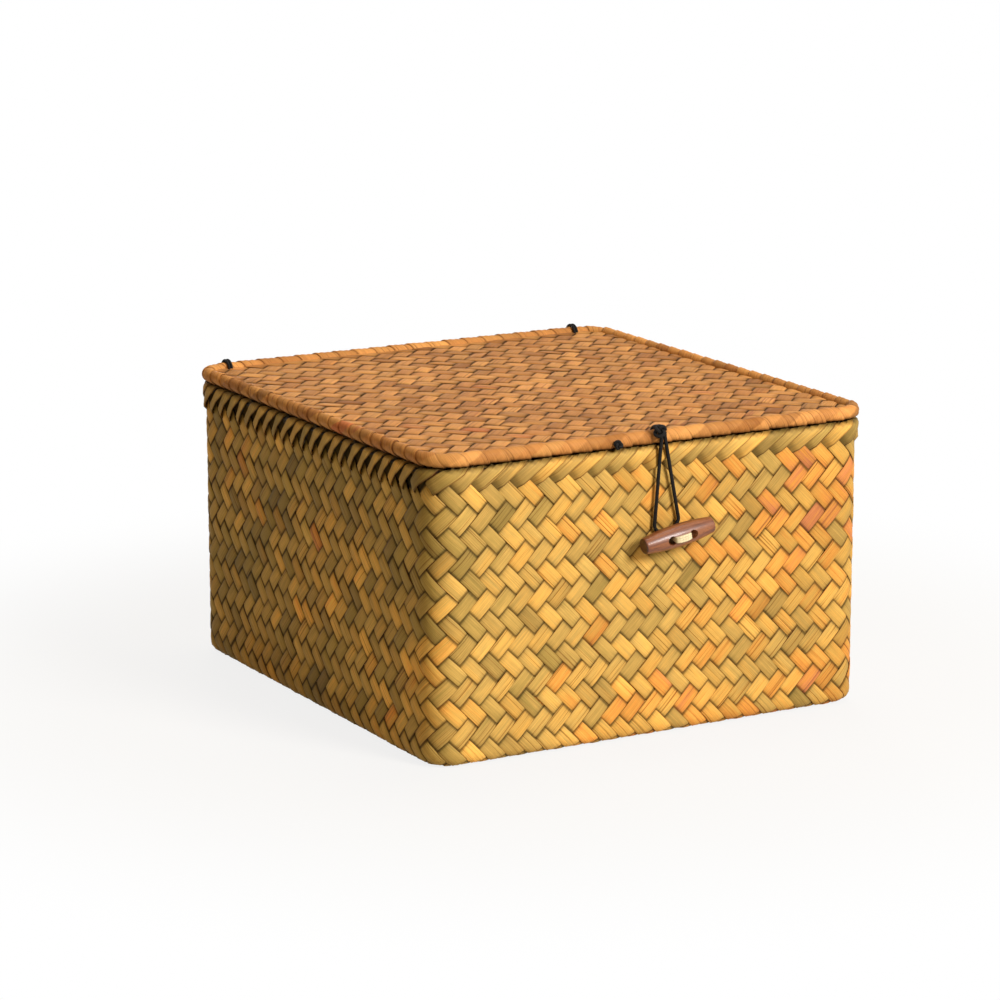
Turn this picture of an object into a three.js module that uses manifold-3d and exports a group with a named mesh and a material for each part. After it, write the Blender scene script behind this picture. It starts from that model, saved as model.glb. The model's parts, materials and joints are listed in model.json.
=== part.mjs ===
// A plaited rush box with a hinged lid, a cord loop and a wooden toggle.
// Millimetres. X runs right along the front, Y to the back, Z up, with the origin under the base's centre.
import * as THREE from 'three';
import { mergeVertices } from 'three/addons/utils/BufferGeometryUtils.js';
import Module from 'manifold-3d';

const wasm = await Module();
wasm.setup();

// Basket: one woven shell, two crossing strips thick
const BODY_WIDTH = 250;
const BODY_DEPTH = 264;
const RIM_HEIGHT = 148;
const CORNER_RADIUS = 16;
const FOOT_RADIUS = 6;
const WALL = 2.6;
const BASE = 3;

// Rim: strip ends folded down over a wire hoop
const RIM_WIRE = 2.6;
const FOLD_STRIP = 1;
const FOLD_DEPTH = 11;

// Lid: a woven mat with a strip wound round its edge and a wire frame
const LID_ROLL = 7.2;
const LID_WIRE = 3;
const LID_MAT = 2.4;
const LID_OVERHANG = 0.4;

// Black cord of the hinge ties and the closing loop
const CORD = 1.8;
const TIE_TURNS = 2;
const TIE_DROP = 8;
const TIE_BEND = 1.4;
const TIE_KNOT = 2.3;
const LOOP_X = 1;
const LOOP_KNOT_X = -1.2;
const LOOP_KNOT = 2.6;
const LOOP_KNOT_TURN = THREE.MathUtils.degToRad(145);
const LOOP_LEFT = -2.7;
const LOOP_RIGHT = 11;
const LOOP_OFF_WALL = 0.7;
const LOOP_TURN_Z = 111.8;
const LOOP_TURN_DROP = 5.4;
const TAIL_X = -24.6;
const TAIL_KNOT = 1.6;
const TAIL_TURN = THREE.MathUtils.degToRad(190);

// Wooden toggle, sewn on with cream thread through two holes that lean together at the back
const TOGGLE_X = 6.2;
const TOGGLE_Z = 103.6;
const TOGGLE_LENGTH = 40;
const TOGGLE_MIDDLE = 11.4;
const TOGGLE_END = 8.2;
const TOGGLE_CHAMFER = 0.7;
const TOGGLE_TILT = THREE.MathUtils.degToRad(9.5);
const TOGGLE_STANDOFF = 3;
const HOLE = 4.6;
const HOLES_APART_FRONT = 12.6;
const HOLES_APART_BACK = 3;
const THREAD = 1.4;
const THREAD_TURNS = 3;
const THREAD_LAP = 0.2;
const STEM = 3.4;
const BACK_KNOT = 2.8;

// Clearances: between pieces that touch, and round a cord in its hole
const SEAT = 0.3;
const CORD_ROOM = 0.4;

// Facets
const CORNER_STEPS = 6;
const WIRE_SIDES = 8;
const ROLL_SIDES = 16;
const ARC_STEPS = 6;
const FOOT_STEPS = 4;
const BAR_SIDES = 20;
const BAR_STEPS = 8;
const CORD_SIDES = 8;
const LEG_STEPS = 5;
const TURN_STEPS = 10;
const LOOP_STEPS = 44;

// Worked out: distances measured outwards from the wall's outside and up from the table
const wallMiddle = -WALL / 2;
const foldCavity = Math.max(WALL, RIM_WIRE) / 2 + SEAT;
const foldReach = foldCavity + FOLD_STRIP;
const rimWireZ = RIM_HEIGHT - foldReach;
const wallTop = rimWireZ - RIM_WIRE / 2 - SEAT;
const foldBottom = RIM_HEIGHT - FOLD_DEPTH;
const rollRadius = LID_ROLL / 2;
const lidAxisOut = wallMiddle + foldReach + LID_OVERHANG - rollRadius;
const lidAxisZ = RIM_HEIGHT + SEAT + rollRadius;
const rearAxisY = BODY_DEPTH / 2 + lidAxisOut;
const frontAxisY = -rearAxisY;
const lidBore = LID_WIRE / 2 + SEAT;
const matSlot = LID_MAT / 2 + SEAT;
const cordInside = rollRadius + SEAT;
const cordOutside = cordInside + CORD;
const tieWidth = TIE_TURNS * CORD;
const tieX = BODY_WIDTH / 2 - CORNER_RADIUS - tieWidth / 2;
const tieZ = RIM_HEIGHT - TIE_DROP;
const wallY = -BODY_DEPTH / 2;
const barY = wallY - TOGGLE_STANDOFF - TOGGLE_MIDDLE / 2;

// Solids and booleans
function toSolid(geometry) {
  const bare = geometry.clone();
  bare.deleteAttribute('normal');
  bare.deleteAttribute('uv');
  const merged = mergeVertices(bare);
  return new wasm.Manifold(new wasm.Mesh({
    numProp: 3,
    vertProperties: Float32Array.from(merged.attributes.position.array),
    triVerts: Uint32Array.from(merged.index.array),
  }));
}

function toGeometry(solid) {
  const mesh = solid.getMesh();
  const geometry = new THREE.BufferGeometry();
  geometry.setAttribute('position', new THREE.Float32BufferAttribute(mesh.vertProperties, 3));
  geometry.setIndex(new THREE.BufferAttribute(mesh.triVerts, 1));
  return geometry;
}

function join(...geometries) {
  return toGeometry(geometries.map(toSolid).reduce((whole, solid) => whole.add(solid)));
}

function cut(geometry, ...tools) {
  return toGeometry(tools.map(toSolid).reduce((whole, tool) => whole.subtract(tool), toSolid(geometry)));
}

// Skin through a stack of rings, closed on itself or capped at both ends.
function loft(rings, closed = false) {
  const count = rings[0].length;
  const index = [];
  const spans = closed ? rings.length : rings.length - 1;
  for (let span = 0; span < spans; span++) {
    const lower = span * count;
    const upper = ((span + 1) % rings.length) * count;
    for (let step = 0; step < count; step++) {
      const next = (step + 1) % count;
      index.push(lower + step, lower + next, upper + next);
      index.push(lower + step, upper + next, upper + step);
    }
  }
  if (!closed) {
    const top = (rings.length - 1) * count;
    for (let step = 1; step < count - 1; step++) {
      index.push(0, step + 1, step);
      index.push(top, top + step, top + step + 1);
    }
  }
  const positions = rings.flat().flatMap((point) => point.toArray());
  const geometry = new THREE.BufferGeometry();
  geometry.setAttribute('position', new THREE.Float32BufferAttribute(positions, 3));
  geometry.setIndex(index);
  return geometry;
}

// The box's rounded square plan, moved outwards, at one height, anticlockwise from above.
function planRing(out, up) {
  const radius = CORNER_RADIUS + out;
  const quarter = Math.PI / 2;
  const points = [];
  for (let corner = 0; corner < 4; corner++) {
    const centreX = (corner === 0 || corner === 3 ? 1 : -1) * (BODY_WIDTH / 2 - CORNER_RADIUS);
    const centreY = (corner < 2 ? 1 : -1) * (BODY_DEPTH / 2 - CORNER_RADIUS);
    for (let step = 0; step <= CORNER_STEPS; step++) {
      const angle = (corner + step / CORNER_STEPS) * quarter;
      points.push(new THREE.Vector3(
        centreX + radius * Math.cos(angle),
        centreY + radius * Math.sin(angle),
        up,
      ));
    }
  }
  return points;
}

// A closed section, as [out, up] points taken anticlockwise, carried round the plan.
function sweepRound(section) {
  return loft(section.map(([out, up]) => planRing(out, up)), true);
}

// [out, up] points along an arc from one angle to another, both ends included.
function arc(out, up, radius, from, to, steps) {
  return Array.from({ length: steps + 1 }, (_, step) => {
    const angle = from + (to - from) * step / steps;
    return [out + radius * Math.cos(angle), up + radius * Math.sin(angle)];
  });
}

function circle(out, up, radius, sides) {
  return arc(out, up, radius, 0, 2 * Math.PI * (1 - 1 / sides), sides - 1);
}

// A flat outline with its first axis along Y and its second along Z, given a thickness centred on x.
function acrossX(shape, width, x) {
  const bevel = width / 6;
  const geometry = new THREE.ExtrudeGeometry(shape, {
    depth: width - 2 * bevel,
    bevelThickness: bevel,
    bevelSize: bevel,
    bevelOffset: -bevel,
    bevelSegments: 1,
    curveSegments: ARC_STEPS,
  });
  geometry.translate(0, 0, bevel - width / 2);
  geometry.applyMatrix4(new THREE.Matrix4().makeBasis(
    new THREE.Vector3(0, 1, 0),
    new THREE.Vector3(0, 0, 1),
    new THREE.Vector3(1, 0, 0),
  ));
  return geometry.translate(x, 0, 0);
}

// A lump of knotted cord or thread.
function knot(radius, x, y, z) {
  return new THREE.IcosahedronGeometry(radius, 1).translate(x, y, z);
}

function block(sizeX, sizeY, sizeZ, x, y, z) {
  return new THREE.BoxGeometry(sizeX, sizeY, sizeZ).translate(x, y, z);
}

// A round rod between two points.
function rod(radius, from, to, sides) {
  const along = new THREE.Vector3().subVectors(to, from);
  const geometry = new THREE.CylinderGeometry(radius, radius, along.length(), sides);
  const turn = new THREE.Quaternion().setFromUnitVectors(
    new THREE.Vector3(0, 1, 0),
    along.clone().normalize(),
  );
  geometry.applyQuaternion(turn);
  const middle = new THREE.Vector3().addVectors(from, to).divideScalar(2);
  return geometry.translate(middle.x, middle.y, middle.z);
}

// Basket
function bowl(out, bottom, radius, top) {
  const turnUnder = arc(out - radius, bottom + radius, radius, -Math.PI / 2, 0, FOOT_STEPS);
  return loft([...turnUnder, [out, top]].map(([ringOut, up]) => planRing(ringOut, up)));
}

function tieHole(side) {
  const through = 4 * foldReach;
  const middleY = BODY_DEPTH / 2 + wallMiddle;
  return block(
    tieWidth + 2 * CORD_ROOM,
    through,
    CORD + 2 * CORD_ROOM,
    side * tieX,
    middleY,
    tieZ,
  );
}

function stemHole() {
  const radius = STEM / 2 + SEAT;
  const from = new THREE.Vector3(TOGGLE_X, wallY - WALL, TOGGLE_Z);
  const to = new THREE.Vector3(TOGGLE_X, wallY + 2 * WALL, TOGGLE_Z);
  return rod(radius, from, to, BAR_SIDES);
}

function wovenBasket() {
  const outside = bowl(0, 0, FOOT_RADIUS, wallTop);
  const inside = bowl(-WALL, BASE, FOOT_RADIUS - WALL, wallTop + WALL);
  return cut(outside, inside, tieHole(-1), tieHole(1), stemHole());
}

function rimWire() {
  return sweepRound(circle(wallMiddle, rimWireZ, RIM_WIRE / 2, WIRE_SIDES));
}

function rimFold() {
  const section = [
    [wallMiddle + foldReach, foldBottom],
    ...arc(wallMiddle, rimWireZ, foldReach, 0, Math.PI, 2 * ARC_STEPS),
    [wallMiddle - foldReach, foldBottom],
    [wallMiddle - foldCavity, foldBottom],
    ...arc(wallMiddle, rimWireZ, foldCavity, Math.PI, 0, ARC_STEPS),
    [wallMiddle + foldCavity, foldBottom],
  ];
  return cut(sweepRound(section), tieHole(-1), tieHole(1));
}

// Each tie is an oval of cord round the lid's rear edge, through the wall under the rim wire.
function tieOutline(outline, radius, bottom, bend) {
  outline.moveTo(rearAxisY + radius, lidAxisZ);
  outline.absarc(rearAxisY, lidAxisZ, radius, 0, Math.PI, false);
  outline.lineTo(rearAxisY - radius, bottom + bend);
  outline.absarc(rearAxisY - radius + bend, bottom + bend, bend, Math.PI, 1.5 * Math.PI, false);
  outline.lineTo(rearAxisY + radius - bend, bottom);
  outline.absarc(rearAxisY + radius - bend, bottom + bend, bend, -Math.PI / 2, 0, false);
  outline.closePath();
  return outline;
}

function hingeTie(side) {
  const shape = tieOutline(new THREE.Shape(), cordOutside, tieZ - CORD / 2, TIE_BEND + CORD);
  shape.holes.push(tieOutline(new THREE.Path(), cordInside, tieZ + CORD / 2, TIE_BEND));
  const loop = acrossX(shape, tieWidth, side * tieX);
  const knotZ = (lidAxisZ + tieZ) / 2;
  return join(loop, knot(TIE_KNOT, side * tieX, rearAxisY + cordInside + TIE_KNOT, knotZ));
}

// Lid
function lidFrameWire() {
  return sweepRound(circle(lidAxisOut, lidAxisZ, LID_WIRE / 2, WIRE_SIDES));
}

function lidEdgeBinding() {
  const mouthOutside = Math.asin(matSlot / rollRadius);
  const mouthInside = Math.asin(Math.min(matSlot / lidBore, 1));
  const half = Math.PI;
  const section = [
    ...arc(lidAxisOut, lidAxisZ, rollRadius, mouthOutside - half, half - mouthOutside, ROLL_SIDES),
    ...arc(lidAxisOut, lidAxisZ, lidBore, half - mouthInside, mouthInside - half, WIRE_SIDES),
  ];
  return sweepRound(section);
}

// The mat's slot beside its rolled edge, where a cord passes round the roll.
function matHole(x, edge) {
  const reach = cordOutside + CORD_ROOM;
  return block(
    tieWidth + 2 * CORD_ROOM,
    reach - lidBore,
    2 * LID_MAT,
    x,
    edge * (rearAxisY - (reach + lidBore) / 2),
    lidAxisZ,
  );
}

function lidMat() {
  const edge = lidAxisOut - lidBore;
  const plate = loft([
    planRing(edge, lidAxisZ - LID_MAT / 2),
    planRing(edge, lidAxisZ + LID_MAT / 2),
  ]);
  return cut(plate, matHole(-tieX, 1), matHole(tieX, 1), matHole(LOOP_X, -1));
}

// A knot that touches the front edge's roll, turned up from the roll's inner side.
function knotOnRoll(radius, x, turn) {
  const reach = cordInside + radius;
  return knot(radius, x, frontAxisY + reach * Math.cos(turn), lidAxisZ + reach * Math.sin(turn));
}

// The loop's two ends go over the front edge, through the mat, and are knotted in front.
function loopKnot() {
  const below = Math.asin((LID_MAT / 2 + CORD / 2) / (cordInside + CORD / 2));
  const shape = new THREE.Shape();
  shape.absarc(frontAxisY, lidAxisZ, cordOutside, -below, Math.PI, false);
  shape.absarc(frontAxisY, lidAxisZ, cordInside, Math.PI, -below, true);
  shape.closePath();
  const strap = acrossX(shape, tieWidth, LOOP_X);
  return join(strap, knotOnRoll(LOOP_KNOT, LOOP_KNOT_X, LOOP_KNOT_TURN));
}

function loopTailKnot() {
  return knotOnRoll(TAIL_KNOT, TAIL_X, TAIL_TURN);
}

// Closing loop: it hangs from the lid's front edge and tucks behind the toggle above its stem.
// Its turn at the bottom is the lower half of an oval that leans with the toggle.
function loopTurn() {
  const middle = (LOOP_LEFT + LOOP_RIGHT) / 2;
  const half = (LOOP_RIGHT - LOOP_LEFT) / 2;
  return Array.from({ length: TURN_STEPS + 1 }, (_, step) => {
    const angle = Math.PI * step / TURN_STEPS;
    const across = -half * Math.cos(angle);
    const up = across * Math.tan(TOGGLE_TILT) - LOOP_TURN_DROP * Math.sin(angle);
    return new THREE.Vector3(middle + across, wallY - LOOP_OFF_WALL - CORD / 2, LOOP_TURN_Z + up);
  });
}

// Points down a leg from the roll, up to but without the point where the turn takes over.
function loopLeg(topX, bottom) {
  const top = new THREE.Vector3(topX, frontAxisY - cordInside - CORD / 2, lidAxisZ - SEAT);
  return Array.from({ length: LEG_STEPS }, (_, step) => top.clone().lerp(bottom, step / LEG_STEPS));
}

function closureLoop() {
  const turn = loopTurn();
  const route = new THREE.CatmullRomCurve3([
    ...loopLeg(LOOP_X - CORD / 2, turn[0]),
    ...turn,
    ...loopLeg(LOOP_X + CORD / 2, turn[TURN_STEPS]).reverse(),
  ]);
  const section = new THREE.Shape();
  section.absarc(0, 0, CORD / 2, 0, 2 * Math.PI, false);
  return new THREE.ExtrudeGeometry(section, {
    extrudePath: route,
    steps: LOOP_STEPS,
    bevelEnabled: false,
    curveSegments: CORD_SIDES / 2,
  });
}

// Toggle, made along X about its own centre
function barProfile() {
  const half = TOGGLE_LENGTH / 2;
  const ends = half - TOGGLE_CHAMFER;
  const points = [new THREE.Vector2(0, -half), new THREE.Vector2(TOGGLE_END / 2 - TOGGLE_CHAMFER, -half)];
  for (let step = 0; step <= BAR_STEPS; step++) {
    const along = -ends + 2 * ends * step / BAR_STEPS;
    const fall = (along / ends) ** 2;
    points.push(new THREE.Vector2((TOGGLE_MIDDLE - (TOGGLE_MIDDLE - TOGGLE_END) * fall) / 2, along));
  }
  points.push(new THREE.Vector2(TOGGLE_END / 2 - TOGGLE_CHAMFER, half), new THREE.Vector2(0, half));
  return points;
}

// A point on one hole's centreline, at a distance in front of the bar's axis.
function onHole(side, ahead) {
  const share = (ahead + TOGGLE_MIDDLE / 2) / TOGGLE_MIDDLE;
  const apart = THREE.MathUtils.lerp(HOLES_APART_BACK, HOLES_APART_FRONT, share);
  return new THREE.Vector3(side * apart / 2, -ahead, 0);
}

function toggleBar() {
  const bar = new THREE.LatheGeometry(barProfile(), BAR_SIDES).rotateZ(-Math.PI / 2);
  const past = TOGGLE_MIDDLE / 2 + HOLE;
  const holes = [-1, 1].map((side) => rod(HOLE / 2, onHole(side, -past), onHole(side, past), BAR_SIDES));
  return cut(bar, ...holes);
}

// One turn of thread: across the front between the holes, and down both to where the turns gather.
function threadTurn(up) {
  const radius = THREAD / 2;
  const front = TOGGLE_MIDDLE / 2 + SEAT + radius;
  const back = -TOGGLE_MIDDLE / 2 - SEAT;
  const bends = [-1, 1].map((side) => onHole(side, front).setZ(up));
  const backs = [-1, 1].map((side) => onHole(side, back));
  const runs = bends.map((bend, side) => rod(radius, backs[side], bend, CORD_SIDES));
  const lumps = bends.map((bend) => knot(radius, bend.x, bend.y, bend.z));
  return [...runs, ...lumps, rod(radius, ...bends, CORD_SIDES)];
}

function toggleThread() {
  const stemFrom = new THREE.Vector3(0, TOGGLE_MIDDLE / 2, 0);
  const stemTo = new THREE.Vector3(0, wallY + WALL - barY, 0);
  const turns = Array.from({ length: THREAD_TURNS }, (_, turn) => {
    return threadTurn((turn - (THREAD_TURNS - 1) / 2) * (THREAD - THREAD_LAP));
  });
  return join(rod(STEM / 2, stemFrom, stemTo, BAR_SIDES), ...turns.flat());
}

function toggleBackKnot() {
  return knot(BACK_KNOT, TOGGLE_X, wallY + WALL + SEAT + BACK_KNOT, TOGGLE_Z);
}

// Finishes
const finishes = {
  rush: new THREE.MeshStandardMaterial({ color: 0xc79f48, roughness: 0.6 }),
  brownRush: new THREE.MeshStandardMaterial({ color: 0xb5834e, roughness: 0.6 }),
  steel: new THREE.MeshStandardMaterial({ color: 0x8b8d90, roughness: 0.4, metalness: 1 }),
  cord: new THREE.MeshStandardMaterial({ color: 0x17130f, roughness: 0.7 }),
  wood: new THREE.MeshStandardMaterial({ color: 0x7b3d20, roughness: 0.35 }),
  thread: new THREE.MeshStandardMaterial({ color: 0xe3d2a6, roughness: 0.8 }),
};

function piece(name, geometry, finish) {
  const mesh = new THREE.Mesh(geometry, finishes[finish]);
  mesh.name = name;
  return mesh;
}

// Assembly
const basket = new THREE.Group().add(
  piece('woven_basket', wovenBasket(), 'rush'),
  piece('rim_wire', rimWire(), 'steel'),
  piece('rim_fold', rimFold(), 'rush'),
  piece('hinge_tie_left', hingeTie(-1), 'cord'),
  piece('hinge_tie_right', hingeTie(1), 'cord'),
  piece('toggle_back_knot', toggleBackKnot(), 'thread'),
);

const lid = new THREE.Group().add(
  piece('lid_mat', lidMat(), 'brownRush'),
  piece('lid_frame_wire', lidFrameWire(), 'steel'),
  piece('lid_edge_binding', lidEdgeBinding(), 'brownRush'),
  piece('loop_knot', loopKnot(), 'cord'),
  piece('loop_tail_knot', loopTailKnot(), 'cord'),
);

const loop = new THREE.Group().add(piece('closure_loop', closureLoop(), 'cord'));

const toggle = new THREE.Group().add(
  piece('toggle_bar', toggleBar(), 'wood'),
  piece('toggle_thread', toggleThread(), 'thread'),
);
toggle.position.set(TOGGLE_X, barY, TOGGLE_Z);
toggle.rotation.y = -TOGGLE_TILT;

const box = new THREE.Group().add(basket, lid, loop, toggle);

export default box;
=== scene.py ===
# %% [markdown]
# # A plaited rush box with a toggle
#
# The box is made of flat leaf strips, plaited on the bias so that every strip runs at 45 degrees.
# This lesson builds the real strips one by one as surfaces, because a woven picture on a plain
# shell looks flat as soon as light falls along it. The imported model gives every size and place.

# %% Load the frame
import json
import math

import bpy
import numpy as np
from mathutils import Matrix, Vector


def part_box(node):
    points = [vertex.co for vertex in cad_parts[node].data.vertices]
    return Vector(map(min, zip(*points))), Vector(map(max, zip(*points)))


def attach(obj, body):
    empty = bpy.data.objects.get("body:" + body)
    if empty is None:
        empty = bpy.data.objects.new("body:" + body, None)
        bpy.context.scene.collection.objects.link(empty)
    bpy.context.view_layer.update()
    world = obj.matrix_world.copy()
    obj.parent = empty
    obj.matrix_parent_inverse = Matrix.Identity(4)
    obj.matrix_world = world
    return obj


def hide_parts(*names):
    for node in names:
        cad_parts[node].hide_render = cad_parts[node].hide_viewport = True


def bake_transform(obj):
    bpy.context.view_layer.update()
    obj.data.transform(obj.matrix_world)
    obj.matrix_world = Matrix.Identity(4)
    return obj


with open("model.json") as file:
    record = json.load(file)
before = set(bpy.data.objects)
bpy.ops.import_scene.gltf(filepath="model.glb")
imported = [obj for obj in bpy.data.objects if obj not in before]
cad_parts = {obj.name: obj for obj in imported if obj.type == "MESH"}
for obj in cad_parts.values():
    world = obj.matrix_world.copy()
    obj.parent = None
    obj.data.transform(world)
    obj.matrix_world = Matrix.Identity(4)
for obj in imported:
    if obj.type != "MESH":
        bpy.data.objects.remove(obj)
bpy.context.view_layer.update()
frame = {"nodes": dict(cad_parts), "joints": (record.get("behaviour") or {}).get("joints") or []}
MM = 0.001
SEED = 7
random = np.random.default_rng(SEED)

# %% [markdown]
# ## Sizes taken from the frame
#
# The outside of the basket, the lid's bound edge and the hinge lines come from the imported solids,
# so the strips follow the solids if those change. Only what a solid's box doesn't show, such as a
# corner radius or a cord's thickness, is named here.

# %% Read the main sizes
CORNER_RADIUS = 16 * MM
FOOT_RADIUS = 6 * MM
WALL = 2.6 * MM
SEAT = 0.3 * MM
CORD = 1.8 * MM
ACROSS, BACKWARD, UPWARD = np.eye(3)


def node_box(node):
    """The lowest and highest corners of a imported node."""
    low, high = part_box(node)
    return np.array(low), np.array(high)


def node_middle(node):
    """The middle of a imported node's box."""
    return sum(node_box(node)) / 2


basket_low, basket_high = node_box("woven_basket")
binding_high = node_box("lid_edge_binding")[1]
hinges = {joint["name"]: np.array(joint["pos_m"]) for joint in frame["joints"]}

rear_axis = hinges["lid_hinge"]
front_axis = hinges["loop_swing"]
bar_middle = hinges["toggle_swivel"]
wall_half = basket_high[:2] - WALL / 2
wall_corner = CORNER_RADIUS - WALL / 2
rim_wire_z = node_middle("rim_wire")[2]
roll_radius = binding_high[1] - rear_axis[1]
lid_half = binding_high[:2] - roll_radius
lid_corner = CORNER_RADIUS - (basket_high[0] - lid_half[0])
lid_z = rear_axis[2]
cord_ring = roll_radius + SEAT + CORD / 2
print("wall middle line:", wall_half / MM, "lid edge line:", lid_half / MM, "roll:", roll_radius / MM)

# %% [markdown]
# ## Camera
#
# The camera stands where the photograph was taken: the box's edges and outline were measured in the
# picture and a pinhole camera was fitted to them. A long lens far away keeps edges nearly parallel.

# %% Place the camera
VIEW_TARGET = np.array([-13.48, 0, 95.33]) * MM
VIEW_DISTANCE = 1859.9 * MM
VIEW_TURN = math.radians(29.69)
VIEW_RISE = math.radians(13.03)
VIEW_LENS = 128.85
SENSOR = 36

away = np.array([
    -math.sin(VIEW_TURN) * math.cos(VIEW_RISE),
    -math.cos(VIEW_TURN) * math.cos(VIEW_RISE),
    math.sin(VIEW_RISE),
])
camera_data = bpy.data.cameras.new("camera")
camera_data.lens = VIEW_LENS
camera_data.sensor_width = SENSOR
camera = bpy.data.objects.new("camera", camera_data)
camera.location = Vector(VIEW_TARGET + away * VIEW_DISTANCE)
camera.rotation_euler = Vector(-away).to_track_quat("-Z", "Y").to_euler()
bpy.context.scene.collection.objects.link(camera)
bpy.context.scene.camera = camera
print("camera at", np.round(camera.location, 3))

# %% [markdown]
# ## Meshes from whole arrays
#
# Every piece below is a grid of points: stations along a path, and a closed section at each
# station. One helper turns such grids into a closed mesh. It measures the signed volume and turns
# the faces round if they point inwards, so a formula's handedness never matters.

# %% Turn grids into meshes
SHARP = math.radians(40)


def signed_volume(points, quads):
    """A sixth of the sum of corner triple products over the triangles that the quads split into."""
    a, b, c, d = (points[quads[:, corner]] for corner in range(4))
    return np.einsum("ij,ij->", a, np.cross(b, c) + np.cross(c, d)) / 6


def grid_faces(grid, joined):
    """Quads between neighbouring stations and ring points on every strip, and the strips' end faces."""
    strips, stations, ring, _ = grid.shape
    spans = stations if joined else stations - 1
    strip, span, step = np.meshgrid(np.arange(strips), np.arange(spans), np.arange(ring), indexing="ij")
    near = (strip * stations + span) * ring
    far = (strip * stations + (span + 1) % stations) * ring
    after = (step + 1) % ring
    quads = np.stack([near + step, near + after, far + after, far + step], axis=-1).reshape(-1, 4)
    first = np.arange(strips)[:, None] * stations * ring + np.arange(ring)
    caps = np.concatenate([first[:, ::-1], first + (stations - 1) * ring])
    if signed_volume(grid.reshape(-1, 3), quads) < 0:
        quads, caps = quads[:, ::-1], caps[:, ::-1]
    return quads, caps[:0] if joined else caps


def on_points(parts, grids):
    """One value for each point of the grids, from parts that broadcast to their grids' shapes."""
    spread = [np.broadcast_to(part, grid.shape[:-1]).ravel() for part, grid in zip(parts, grids)]
    return np.concatenate(spread)


def grid_mesh(name, grids, joined=False, along=None, across=None, **measures):
    """A closed mesh from a list of grids of points, each strips by stations by ring by xyz.

    along and across become the UV map in metres, and each measure an attribute of that name on the
    points. They are lists with one part for each grid.
    """
    faces, start = [], 0
    for grid in grids:
        quads, caps = grid_faces(grid, joined)
        faces += (quads + start).tolist() + (caps + start).tolist()
        start += grid.size // 3
    mesh = bpy.data.meshes.new(name)
    mesh.from_pydata(np.concatenate([grid.reshape(-1, 3) for grid in grids]).tolist(), [], faces)
    mesh.polygons.foreach_set("use_smooth", np.ones(len(mesh.polygons), bool))
    mesh.set_sharp_from_angle(angle=SHARP)
    if along is not None:
        corner = np.empty(len(mesh.loops), np.int32)
        mesh.loops.foreach_get("vertex_index", corner)
        flat = np.stack([on_points(along, grids), on_points(across, grids)], axis=1)
        mesh.uv_layers.new(name="strip").data.foreach_set("uv", flat[corner].ravel())
    for label, parts in measures.items():
        mesh.attributes.new(label, "FLOAT", "POINT").data.foreach_set("value", on_points(parts, grids))
    mesh.update()
    piece = bpy.data.objects.new(name, mesh)
    bpy.context.scene.collection.objects.link(piece)
    print(name, "faces:", len(mesh.polygons))
    return piece


def one_grid_mesh(name, grid, joined=False, **parts):
    """A mesh from one grid, with its parts given as they are."""
    return grid_mesh(name, [grid], joined, **{label: [part] for label, part in parts.items()})


def place(piece, body, slot, finish, *nodes):
    """Gives a piece its finish and its body, and hides the nodes that it stands for. The slot is not
    used.
    """
    piece.data.materials.append(finish)
    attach(piece, body)
    if nodes:
        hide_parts(*nodes)
    return piece


# %% [markdown]
# ## Shader sums as Python
#
# A shader is a graph of nodes, but a sum is easier to read as a sum. A small class wraps a socket
# so that ordinary operators add Math nodes, and one function adds any other node.

# %% Wrap sockets
def math_node(operation):
    """An operator that joins two values by a Math node of this operation."""
    def joined(first, second=0.0):
        return add_node(first.tree, "Math", {"operation": operation}, {0: first, 1: second})

    return joined


class Wire:
    """One socket of a node tree, which can be added, multiplied and so on like a number."""

    __add__ = __radd__ = math_node("ADD")
    __mul__ = __rmul__ = math_node("MULTIPLY")
    __sub__ = math_node("SUBTRACT")
    sine = math_node("SINE")

    def __init__(self, tree, socket):
        self.tree = tree
        self.socket = socket

    def __rsub__(self, other):
        return add_node(self.tree, "Math", {"operation": "SUBTRACT"}, {0: other, 1: self})

    def clamped(self):
        return add_node(self.tree, "Clamp", None, {"Value": self})

    def step_up(self, low, high):
        """0 below low, 1 above high and a smooth rise between them."""
        inputs = {"Value": self, "From Min": low, "From Max": high}
        return add_node(self.tree, "MapRange", {"interpolation_type": "SMOOTHSTEP"}, inputs)


def feed(tree, socket, value):
    """Links a socket to a wire, or sets it to a plain value."""
    if isinstance(value, Wire):
        tree.links.new(value.socket, socket)
    else:
        socket.default_value = value


def add_node(tree, kind, settings=None, inputs=None, output=0):
    """Adds a node, sets it up, then gives its sockets values or links, and returns one output."""
    node = tree.nodes.new("ShaderNode" + kind)
    for label, value in (settings or {}).items():
        if label == "stops":
            while len(node.color_ramp.elements) < len(value):
                node.color_ramp.elements.new(1.0)
            for element, (spot, colour) in zip(node.color_ramp.elements, value):
                element.position = spot
                element.color = (*paint(*colour), 1.0)
        else:
            setattr(node, label, value)
    for label, value in (inputs or {}).items():
        feed(tree, node.inputs[label], value)
    return Wire(tree, node.outputs[output])
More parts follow.
